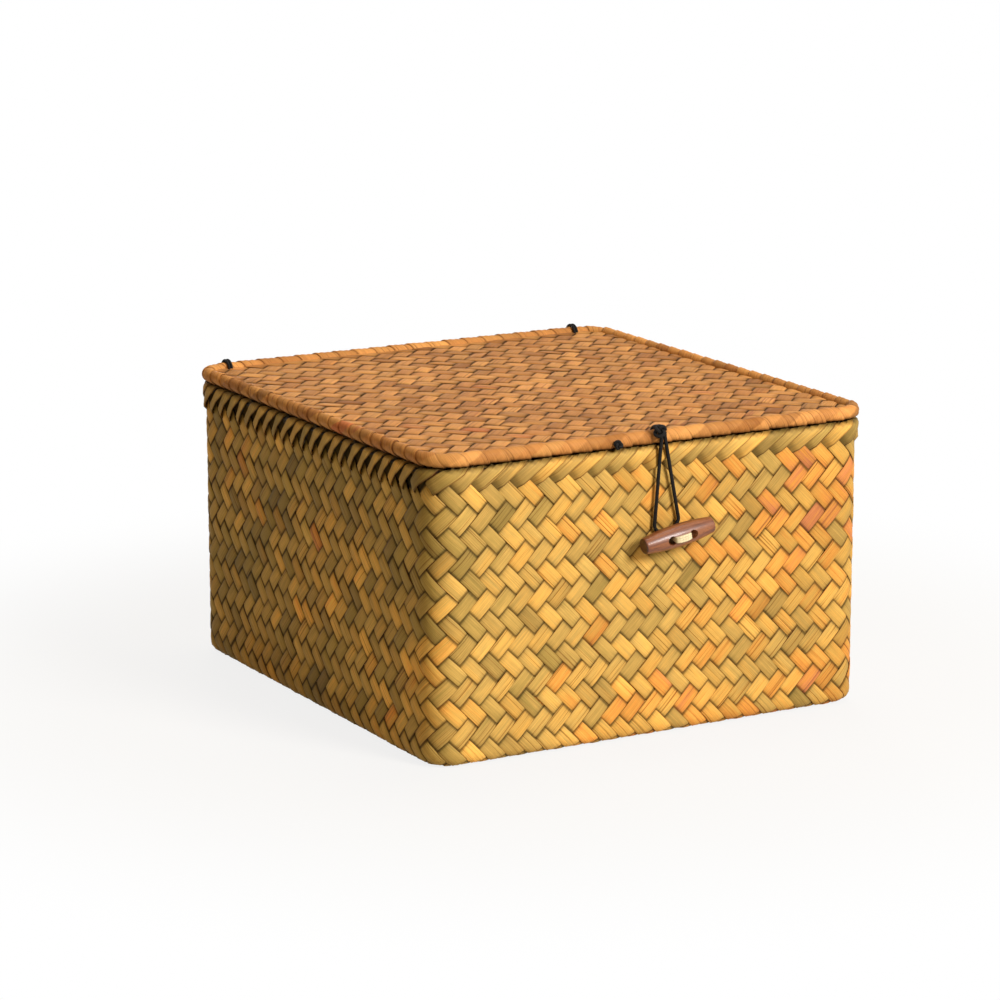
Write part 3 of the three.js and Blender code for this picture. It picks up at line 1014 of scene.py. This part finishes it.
def fold_strips():
    """Strips that climb, bend over and go down, moving sideways by the climb over their lean's slope."""
    total = FOLD_TUCK + fold_rise + math.pi * FOLD_RING + FOLD_INSIDE
    climb = np.linspace(-FOLD_TUCK, total - FOLD_TUCK, round(total / FOLD_STEP))[:, None]
    each = (columns, 1, 1)
    base = (column - TOP_ROW / 2) * pitch
    steep = on_left(base)
    lean = FOLD_LEAN + LEFT_STEEPER * steep + random.normal(0, LEAN_SPREAD, each)
    past_start = climb - FOLD_OUT + LEFT_LONGER * steep
    taper = LEFT_NARROWER * steep * np.clip(NARROW_FROM - climb / fold_rise, 0, 1)
    half = strip_half * random.uniform(*FOLD_WIDTHS, each)
    side = half * (LEAF_SIDE - taper * (LEAF_SIDE + 1))
    distance = base + climb / np.tan(lean) + side * np.sin(lean)
    reach, height, turn = fold_profile(climb - side * np.cos(lean), past_start)
    lift = LEAF_UP * STRIP_THICK / 2 + FOLD_LAP * LEAF_SIDE
    plan, out = walk(distance, wall_half, wall_corner)
    grid = stood(plan, out, reach + lift * np.cos(turn), height + lift * np.sin(turn))
    return one_grid_mesh(
        "rim_fold_strips",
        grid,
        along=climb / np.sin(lean),
        across=side + column * LEAF_BAND,
        tone=random.normal(*FOLD_TONE, each) + FOLD_WARMER * grid[..., 0] / wall_half[0],
        light=random.normal(*FOLD_LIGHT, each) * fold_shade(climb, turn, steep),
        dip=FOLD_DIP * np.clip(0.5 - past_start / FOLD_DIVE, 0, 1),
        rim=np.abs(LEAF_SIDE) ** FOLD_EDGE,
    )


place(fold_strips(), "basket", "rush", body_rush, "rim_fold")

# %% [markdown]
# ## Flat mats
#
# The base and the lid are flat pieces of the same bias weave, with their rows along the front. A
# strip ends where it meets the rounded outline, so each gets its own length, and the ends are hidden:
# the base's by the wall strips that turn under it, and the lid's in its rolled edge. A plate with a
# bump would be quicker, but the lid is seen at a low angle, where only real strips look woven.

# %% Weave the mats
MAT_PITCH = 11.3 * MM
BASE_INSET = 3.5 * MM
BASE_Z = 2.1 * MM
BASE_TONE = (0.4, 0.12, 0.14)
LID_INSET = 0.5 * MM
LID_WAVE = 0.5 * MM
LID_TONE = (0.48, 0.1, 0.12)
MAT_CUTS = 600
MAT_END = 0.1
MAT_WIDTHS = (0.97, 1.06)
MAT_WANDER = 0.3 * MM
MAT_TILT = (0, 0.02 * MM, 0.1 * MM)
MAT_SWELL = (0, 0.03 * MM, 0.08 * MM)
MAT_LIGHT = (0.97, 0.05, 0.09)
MAT_DIP = 2
SWELL_X = 37 * MM
SWELL_START = 1
SWELL_Y = 43 * MM
SWELL_BOTH = 90 * MM


def within(x, y, half, corner):
    """True where a point lies inside a rounded rectangle."""
    beyond = np.maximum(np.abs(np.stack([x, y])) - (half - corner)[:, None], 0)
    return np.hypot(*beyond) <= corner


def mat_crossings(lean, strip, half, corner, pitch):
    """The crossings of one strip that lie inside the outline, with its own two ends."""
    fine = np.linspace(-half[1], half[1], MAT_CUTS)
    inside = fine[within(lean * fine + strip * pitch, fine, half, corner)]
    if len(inside) == 0 or np.ptp(inside) < pitch:
        return None
    first, last = inside[0] / pitch * 2, inside[-1] / pitch * 2
    return np.concatenate([[first], stations_between(first + MAT_END, last - MAT_END), [last]])


def mat_strip(lean, strip, crossing, height, pitch, wave, tones):
    """One strip of a mat along a diagonal: its grid of points, and its UV map and measures."""
    number, weave = float_numbers(crossing), over_under(crossing)
    half = pitch / ROOT_TWO / 2 * random.uniform(*MAT_WIDTHS)
    side = half * LEAF_SIDE + wander(1, crossing, MAT_WANDER)[0][:, None]
    place_on = crossing[:, None]
    y = place_on * pitch / 2 - lean * side / ROOT_TWO
    x = lean * place_on * pitch / 2 + strip * pitch + side / ROOT_TWO
    tilt = draw(1, number, *MAT_TILT)[0][:, None] * LEAF_SIDE
    swell = draw(1, number, *MAT_SWELL)[0] * np.abs(weave)
    lift = (lean * OVER * weave + swell)[:, None] + LEAF_UP * STRIP_THICK / 2 + tilt
    swells = np.sin(x / SWELL_X + SWELL_START) * np.sin(y / SWELL_Y) * np.cos((x + y) / SWELL_BOTH)
    return {
        "grids": np.stack([x, y, height + lift + wave * swells], axis=-1)[None],
        "along": place_on * pitch / ROOT_TWO,
        "across": side,
        "tone": draw(1, number, *tones)[0][:, None],
        "light": draw(1, number, *MAT_LIGHT)[0][:, None],
        "dip": (1 - weave[:, None] ** 2) ** MAT_DIP,
        "rim": np.abs(LEAF_SIDE),
    }


def flat_mat(name, half, corner, height, pitch, wave, tones):
    """Strips along both diagonals, which pass over and under as the wall's do, row by row along Y.

    wave is how far the whole mat rises and falls, in long smooth swells.
    """
    reach = math.ceil(half.sum() / pitch)
    strips = []
    for lean in (1, -1):
        for strip in range(-reach, reach + 1):
            crossing = mat_crossings(lean, strip, half, corner, pitch)
            if crossing is not None:
                made = mat_strip(lean, strip, crossing, height, pitch, wave, tones)
                made["across"] = made["across"] + (strip + lean * 2 * reach) * LEAF_BAND
                strips.append(made)
    return grid_mesh(name, **{label: [made[label] for made in strips] for label in strips[0]})


base_half = wall_half - BASE_INSET
base = flat_mat("base_mat", base_half, wall_corner - BASE_INSET, BASE_Z, pitch, 0, BASE_TONE)
place(base, "basket", "rush", body_rush)
lid_inner = lid_half - LID_INSET
lid_mat = flat_mat("lid_mat_strips", lid_inner, lid_corner, lid_z, MAT_PITCH, LID_WAVE, LID_TONE)
place(lid_mat, "lid", "lid_rush", lid_rush, "lid_mat")

# %% [markdown]
# ## The lid's bound edge
#
# One strip is wound round and round the lid's wire edge, like the grip of a racket. Each turn moves
# along by a little less than the strip's width, so that its edge laps over the turn before. A row of
# rings would be simpler, but only a helix leans as the winding does.

# %% Bind the lid's edge
BINDING_PITCH = 11.4 * MM
BINDING_RING = 3.0 * MM
BINDING_LAP = 0.32 * MM
BINDING_FILL = 0.57
BINDING_LOOSE = 0.07 * MM
BINDING_TONE = (0.52, 0.16)
BINDING_LIGHT = (1.06, 0.12)
# How much painted shade darkens the roll's underside, in its light and in its dip
UNDERSIDE_SHADE = 0.3
UNDERSIDE_DIP_SHADE = 0.5
TURN_STEPS = 24


def edge_binding():
    """A helix round the edge's circle. Unrolled, it is a straight ramp, and the strip lies across it."""
    turns = round(lid_way / BINDING_PITCH)
    advance = lid_way / turns
    ramp = math.atan(advance / (FULL_TURN * BINDING_RING))
    turned = np.linspace(0, FULL_TURN * turns, turns * TURN_STEPS, endpoint=False)[:, None]
    side = BINDING_FILL * advance * math.cos(ramp) * LEAF_SIDE
    distance = turned / FULL_TURN * advance + side * math.cos(ramp)
    angle = turned - side * math.sin(ramp) / BINDING_RING
    # Painted shade on the underside of the roll, strongest straight below it
    under = np.clip(2 * np.sin(angle) - 1, 0, 1)
    number = (turned / FULL_TURN).astype(int)
    loose = random.normal(0, BINDING_LOOSE, turns)[number]
    ring = BINDING_RING + loose + LEAF_UP * STRIP_THICK / 2 + BINDING_LAP * LEAF_SIDE
    plan, out = walk(distance, lid_half, lid_corner)
    return one_grid_mesh(
        "lid_binding_strip",
        stood(plan, out, ring * np.cos(angle), lid_z - ring * np.sin(angle))[None],
        joined=True,
        along=turned * BINDING_RING / math.cos(ramp),
        across=side,
        tone=random.normal(*BINDING_TONE, turns)[number],
        light=random.normal(*BINDING_LIGHT, turns)[number] * (1 - UNDERSIDE_SHADE * under),
        dip=UNDERSIDE_DIP_SHADE * under,
        # Painted shade along one edge of the strip
        rim=np.clip(LEAF_SIDE, 0, 1),
    )


place(edge_binding(), "lid", "lid_rush", lid_rush, "lid_edge_binding")

# %% [markdown]
# ## The toggle
#
# The toggle is a turned bar of reddish wood, thicker in the middle, with two drilled holes that lean
# together at the back. A profile carried round an axis gives the bar. The holes are cut out of it with
# a Boolean, because a slanting hole in a round side has no simple grid.

# %% Turn the toggle
TOGGLE_LENGTH = 40 * MM
TOGGLE_MIDDLE = 11.4 * MM
TOGGLE_END = 8.2 * MM
TOGGLE_ROUND = 1.1 * MM
HOLE = 4.6 * MM
HOLES_APART_FRONT = 12.6 * MM
HOLES_APART_BACK = 3 * MM
BAR_SIDES = 64
BAR_STATIONS = 41
RIM_STATIONS = 7

bar_front = TOGGLE_MIDDLE / 2
bar_frame = np.array([
    [math.cos(TOGGLE_TILT), 0, math.sin(TOGGLE_TILT)],
    BACKWARD,
    [-math.sin(TOGGLE_TILT), 0, math.cos(TOGGLE_TILT)],
])


def from_bar(points):
    """Places points given along, behind and above the bar's middle into the row frame."""
    return np.asarray(points) @ bar_frame + bar_middle


def on_hole(side, ahead):
    """A point on a hole's centreline, at a distance in front of the bar's axis."""
    share = (ahead + bar_front) / TOGGLE_MIDDLE
    apart = HOLES_APART_BACK + (HOLES_APART_FRONT - HOLES_APART_BACK) * share
    return np.array([side * apart / 2, -ahead, 0])


def bar_grid():
    """A lathe form: the radius falls by the square of the way to the end, and the rims are rounded."""
    body = np.linspace(-1, 1, BAR_STATIONS) * (TOGGLE_LENGTH / 2 - TOGGLE_ROUND)
    radius = (TOGGLE_MIDDLE - (TOGGLE_MIDDLE - TOGGLE_END) * (body / body[-1]) ** 2) / 2
    round_off = np.linspace(0, math.pi / 2, RIM_STATIONS)[1:]
    rim_x = TOGGLE_LENGTH / 2 - TOGGLE_ROUND * (1 - np.sin(round_off))
    rim_radius = TOGGLE_END / 2 - TOGGLE_ROUND * (1 - np.cos(round_off))
    along = np.concatenate([-rim_x[::-1], body, rim_x])
    radius = np.concatenate([rim_radius[::-1], radius, rim_radius])
    angle = np.linspace(0, FULL_TURN, BAR_SIDES, endpoint=False)
    local = np.stack([
        np.repeat(along[:, None], BAR_SIDES, axis=1),
        np.outer(radius, np.cos(angle)),
        np.outer(radius, np.sin(angle)),
    ], axis=-1)
    return from_bar(local)[None]


def drilled(piece, cutters):
    """The piece with the cutters taken away, as a mesh of its own with nothing left to evaluate."""
    for cutter in cutters:
        hole = piece.modifiers.new(cutter.name, "BOOLEAN")
        hole.operation = "DIFFERENCE"
        hole.solver = "EXACT"
        hole.object = cutter
    seen = piece.evaluated_get(bpy.context.evaluated_depsgraph_get())
    mesh = bpy.data.meshes.new_from_object(seen)
    piece.modifiers.clear()
    piece.data = mesh
    mesh.set_sharp_from_angle(angle=SHARP)
    for cutter in cutters:
        bpy.data.objects.remove(cutter)
    return piece


past = bar_front + HOLE
bores = [from_bar(np.array([on_hole(side, -past), on_hole(side, past)])) for side in (-1, 1)]
cutters = [tubes("bore", [bore], HOLE) for bore in bores]
bar = drilled(one_grid_mesh("toggle_wood_bar", bar_grid()), cutters)

# %% [markdown]
# ## Wood
#
# The wood has a long grain, dark pores and darker cut ends. Its grain is noise, drawn out along the
# bar. A UV map would serve on the side, but the ends and holes would need maps of their own, so the
# pattern is solid, and its coordinates are turned by the bar's tilt first.

# %% Finish the wood
RINGS = (18, 420, 420), 4.0, 0.65
PORES = (160, 3600, 3600), 2.0, 0.5
PORE_RISE = (0.58, 0.72)
PORE_DARK = 0.45
END_RISE = (TOGGLE_LENGTH / 2 - 0.7 * MM, TOGGLE_LENGTH / 2 - 0.2 * MM)
END_DARK = 0.65
WOOD_ROUGH = 0.4
PORE_ROUGH = 0.25
RING_RELIEF = 0.4
PORE_RELIEF = 0.6
WOOD_BUMP = (0.25, 0.15 * MM)
WOOD_COAT = 0.1
WOOD = [(0.25, (68, 33, 16)), (0.45, (114, 62, 32)), (0.62, (142, 86, 48)), (0.8, (96, 49, 25))]


def wood_finish():
    """Grain that runs along the tilted bar, with dark pores and darker cut ends."""
    finish = Finish("toggle_wood")
    settings = {"rotation_type": "EULER_XYZ"}
    inputs = {"Vector": finish.spot(), "Center": bar_middle, "Rotation": (0, TOGGLE_TILT, 0)}
    lengthwise = finish.node("VectorRotate", settings, inputs)
    rings, pores = (finish.noise(lengthwise, *grain) for grain in (RINGS, PORES))
    pore = pores.step_up(*PORE_RISE)
    from_middle = finish.parts(lengthwise)[0] - float(bar_middle[0])
    cut = from_middle.step_up(*END_RISE) + (0 - from_middle).step_up(*END_RISE)
    shade = (1 - pore * PORE_DARK) * (1 - cut * END_DARK)
    return finish.wear(
        base_color=finish.darker(finish.ramp(rings, WOOD), shade),
        roughness=WOOD_ROUGH + pore * PORE_ROUGH,
        normal=finish.bump(rings * RING_RELIEF - pore * PORE_RELIEF, *WOOD_BUMP),
        coat_weight=WOOD_COAT,
    )


place(bar, "toggle", "toggle_wood", wood_finish(), "toggle_bar")
print("finish:", bar.active_material.name)

# %% [markdown]
# ## The toggle's thread
#
# Cream thread runs three times across the front between the holes, and its ends gather in a short
# twisted stem that goes through the wall to a knot inside. The strands are tubes, as the cords are. In
# a hole they step towards the bar's middle as they near the front, because the thread is pulled tight.

# %% Sew on the toggle
THREAD = 1.4 * MM
STEM_RING = 0.58 * MM
STEM_STRAND = 1.0 * MM
STEM_STRANDS = 3
STEM_POINTS = 16
STEM_TWIST = 0.35
BACK_KNOT = 2.5 * MM
STITCH_APART = 0.85 * THREAD
STITCH_BULGE = 0.75
STITCH_UNEVEN = 0.12
TWIST_ALONG = 4200
THREAD_COLOUR = (222, 206, 168)
THREAD_SHADE = 0.8
TWIST_SHADE = 0.1
YARN_SHADE = 0.3
YARN_RELIEF = 0.5
THREAD_BUMP = (0.4, 0.1 * MM)
THREAD_ROUGH = 0.85

# How far ahead of the bar's axis, the step to the middle, and the share of the strand's height
STITCH_STEPS = (
    (-bar_front, 0 * MM, 0.2),
    (-0.2 * bar_front, 0.7 * MM, 0.4),
    (0.6 * bar_front, 1.5 * MM, 0.6),
    (bar_front + 0.3 * THREAD, 2.9 * MM, 0.8),
)


def stitch(up, bulge):
    """A strand from the stem up one hole, across the front and down the other."""
    left, right = (
        [on_hole(side, ahead) + [-side * step, 0, share * up] for ahead, step, share in STITCH_STEPS]
        for side in (-1, 1)
    )
    middle = np.array([0, -bar_front - bulge, up])
    return curve_through(from_bar(np.array([*left, middle, *right[::-1]])))


def stem_strand(turn):
    """A strand that winds about the stem's middle, from the bar to the inside of the wall."""
    depth = np.linspace(bar_front - SEAT, basket_low[1] + WALL - bar_middle[1], STEM_POINTS)
    angle = turn + STEM_TWIST * np.arange(STEM_POINTS)
    local = np.stack([STEM_RING * np.cos(angle), depth, STEM_RING * np.sin(angle)], axis=1)
    return curve_through(from_bar(local))


def thread_finish():
    """Twisted yarn: one slanted wave winds along it."""
    finish = Finish("cream_thread")
    run, turn, _ = finish.parts(finish.strip_uv())
    twist = (run * TWIST_ALONG + turn * FULL_TURN).sine()
    fuzz = finish.noise(finish.spot(), *FUZZ)
    shade = THREAD_SHADE + twist * TWIST_SHADE + fuzz * YARN_SHADE
    return finish.wear(
        base_color=finish.darker(paint(*THREAD_COLOUR), shade),
        roughness=THREAD_ROUGH,
        normal=finish.bump(twist + fuzz * YARN_RELIEF, *THREAD_BUMP),
    )


thread = thread_finish()
bulges = {up: (STITCH_BULGE + STITCH_UNEVEN * up) * THREAD for up in (-1, 0, 1)}
stitches = [stitch(up * STITCH_APART, bulge) for up, bulge in bulges.items()]
strands = [stem_strand(turn) for turn in np.linspace(0, FULL_TURN, STEM_STRANDS, endpoint=False)]
place(tubes("toggle_stitches", stitches, THREAD), "toggle", "thread", thread, "toggle_thread")
place(tubes("toggle_stem", strands, STEM_STRAND), "toggle", "thread", thread)
knotted = trefoil(node_middle("toggle_back_knot"), ACROSS, UPWARD, BACKWARD, BACK_KNOT)
back_knot = tubes("toggle_inner_knot", [knotted], THREAD, closed=True)
place(back_knot, "basket", "thread", thread, "toggle_back_knot")

# %% [markdown]
# ## Wires
#
# Two steel hoops stiffen the rim and the lid's edge. They lie inside the folds and show only through
# gaps, as dull dark wire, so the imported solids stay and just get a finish.

# %% Finish the wires
WIRE_CLOUD = (180, 180, 180), 3.0
WIRE_COLOURS = [(0.3, (44, 39, 34)), (0.7, (70, 63, 55))]
WIRE_ROUGH = 0.55
CLOUD_ROUGH = 0.25


def wire_finish():
    """Dull metal with slow clouds in its colour and roughness."""
    finish = Finish("dull_wire")
    cloud = finish.noise(finish.spot(), *WIRE_CLOUD)
    rough = WIRE_ROUGH + cloud * CLOUD_ROUGH
    return finish.wear(base_color=finish.ramp(cloud, WIRE_COLOURS), roughness=rough, metallic=1.0)


wire = wire_finish()
for node in ("rim_wire", "lid_frame_wire"):
    frame["nodes"][node].data.materials.clear()
    frame["nodes"][node].data.materials.append(wire)
print("wires finished:", wire.name)

# %% [markdown]
# ## Floor
#
# The object stands on a plain white floor. Rays from the camera see the floor as nearly white, while it
# still takes the box's soft shadow. More light would make it white too, but would bleach the box.

# %% Lay the floor
FLOOR_HALF = 6.0
FLOOR_WHITE = 0.84
FLOOR_TINT = (0.6, 0.56, 0.5, 1.0)
FLOOR_ROUGH = 0.9
SHADOW_NEAR = 0.2
SHADOW_FAR = 0.45


def seen_straight(tree):
    """1 for rays that come from the camera, or by way of a shiny or clear surface, and else 0."""
    kinds = ("Is Camera Ray", "Is Glossy Ray", "Is Transmission Ray")
    rays = [add_node(tree, "LightPath", output=kind) for kind in kinds]
    return (rays[0] + rays[1] + rays[2]).clamped()


def white_floor():
    """A grey floor that the camera sees as white, all the more so farther from the object's shadow."""
    finish = Finish("floor_white")
    material = finish.wear(base_color=FLOOR_TINT, roughness=FLOOR_ROUGH)
    lit = Wire(finish.tree, finish.shader.outputs[0])
    glow = finish.node("Emission")
    far = finish.node("VectorMath", {"operation": "LENGTH"}, {0: finish.spot()}, "Value")
    white = FLOOR_WHITE + far.step_up(SHADOW_NEAR, SHADOW_FAR) * (1 - FLOOR_WHITE)
    share = seen_straight(finish.tree) * white
    mixed = finish.node("MixShader", None, {0: share, 1: lit, 2: glow})
    finish.tree.links.new(mixed.socket, finish.tree.nodes["Material Output"].inputs["Surface"])
    return material


floor_mesh = bpy.data.meshes.new("floor")
corners = [(-1, -1), (1, -1), (1, 1), (-1, 1)]
floor_mesh.from_pydata([(x * FLOOR_HALF, y * FLOOR_HALF, 0) for x, y in corners], [], [(0, 1, 2, 3)])
floor_mesh.materials.append(white_floor())
floor = bpy.data.objects.new("floor", floor_mesh)
bpy.context.scene.collection.objects.link(floor)
print("floor:", 2 * FLOOR_HALF, "m wide")

# %% [markdown]
# ## Light
#
# One large lamp from the front right gives the photograph's bright front and shaded left side, and two
# weak ones lift the lid and the back. The room adds a weak warm light, as walls and a table do. A
# picture of a room could light the object as well, but these few lights are enough and easy to follow.

# %% Light the room
WORLD_LIGHT = 0.215
WORLD_TINT = (1.0, 0.66, 0.12, 1.0)
WHITE = (1.0, 1.0, 1.0, 1.0)

# Each lamp's place, the point that it is turned to, its size and its power
LAMPS = {
    "key_lamp": ((0.65, -2.1, 1.35), (0, 0, 0.08), 0.9, 76),
    "top_lamp": ((0.3, 0.3, 2.0), (0, 0, 0.1), 1.0, 13),
    "back_lamp": ((0.9, 2.1, 0.6), (0, 0, 0.08), 0.8, 20),
}


def area_lamp(name, spot, target, size, power):
    """A round lamp at a spot, turned to a target."""
    lamp = bpy.data.lights.new(name, "AREA")
    lamp.shape = "DISK"
    lamp.size = size
    lamp.energy = power
    holder = bpy.data.objects.new(name, lamp)
    holder.location = spot
    holder.rotation_euler = (Vector(target) - Vector(spot)).to_track_quat("-Z", "Y").to_euler()
    bpy.context.scene.collection.objects.link(holder)
    return holder


def bright_room():
    """A room that lights the object with a weak warm light, and that the camera sees as white."""
    world = bpy.data.worlds.new("studio")
    world.use_nodes = True
    tree = world.node_tree
    sky = tree.nodes["Background"]
    seen = seen_straight(tree)
    inputs = {0: seen, 6: WORLD_TINT, 7: WHITE}
    tint = add_node(tree, "Mix", {"data_type": "RGBA"}, inputs, 2)
    tree.links.new(tint.socket, sky.inputs["Color"])
    tree.links.new((seen * (1 - WORLD_LIGHT) + WORLD_LIGHT).socket, sky.inputs["Strength"])
    return world


lamps = {name: area_lamp(name, *settings) for name, settings in LAMPS.items()}
lamps["back_lamp"].visible_glossy = False
bpy.context.scene.world = bright_room()
bpy.context.scene.view_settings.view_transform = "Standard"
print("lamps:", list(lamps))
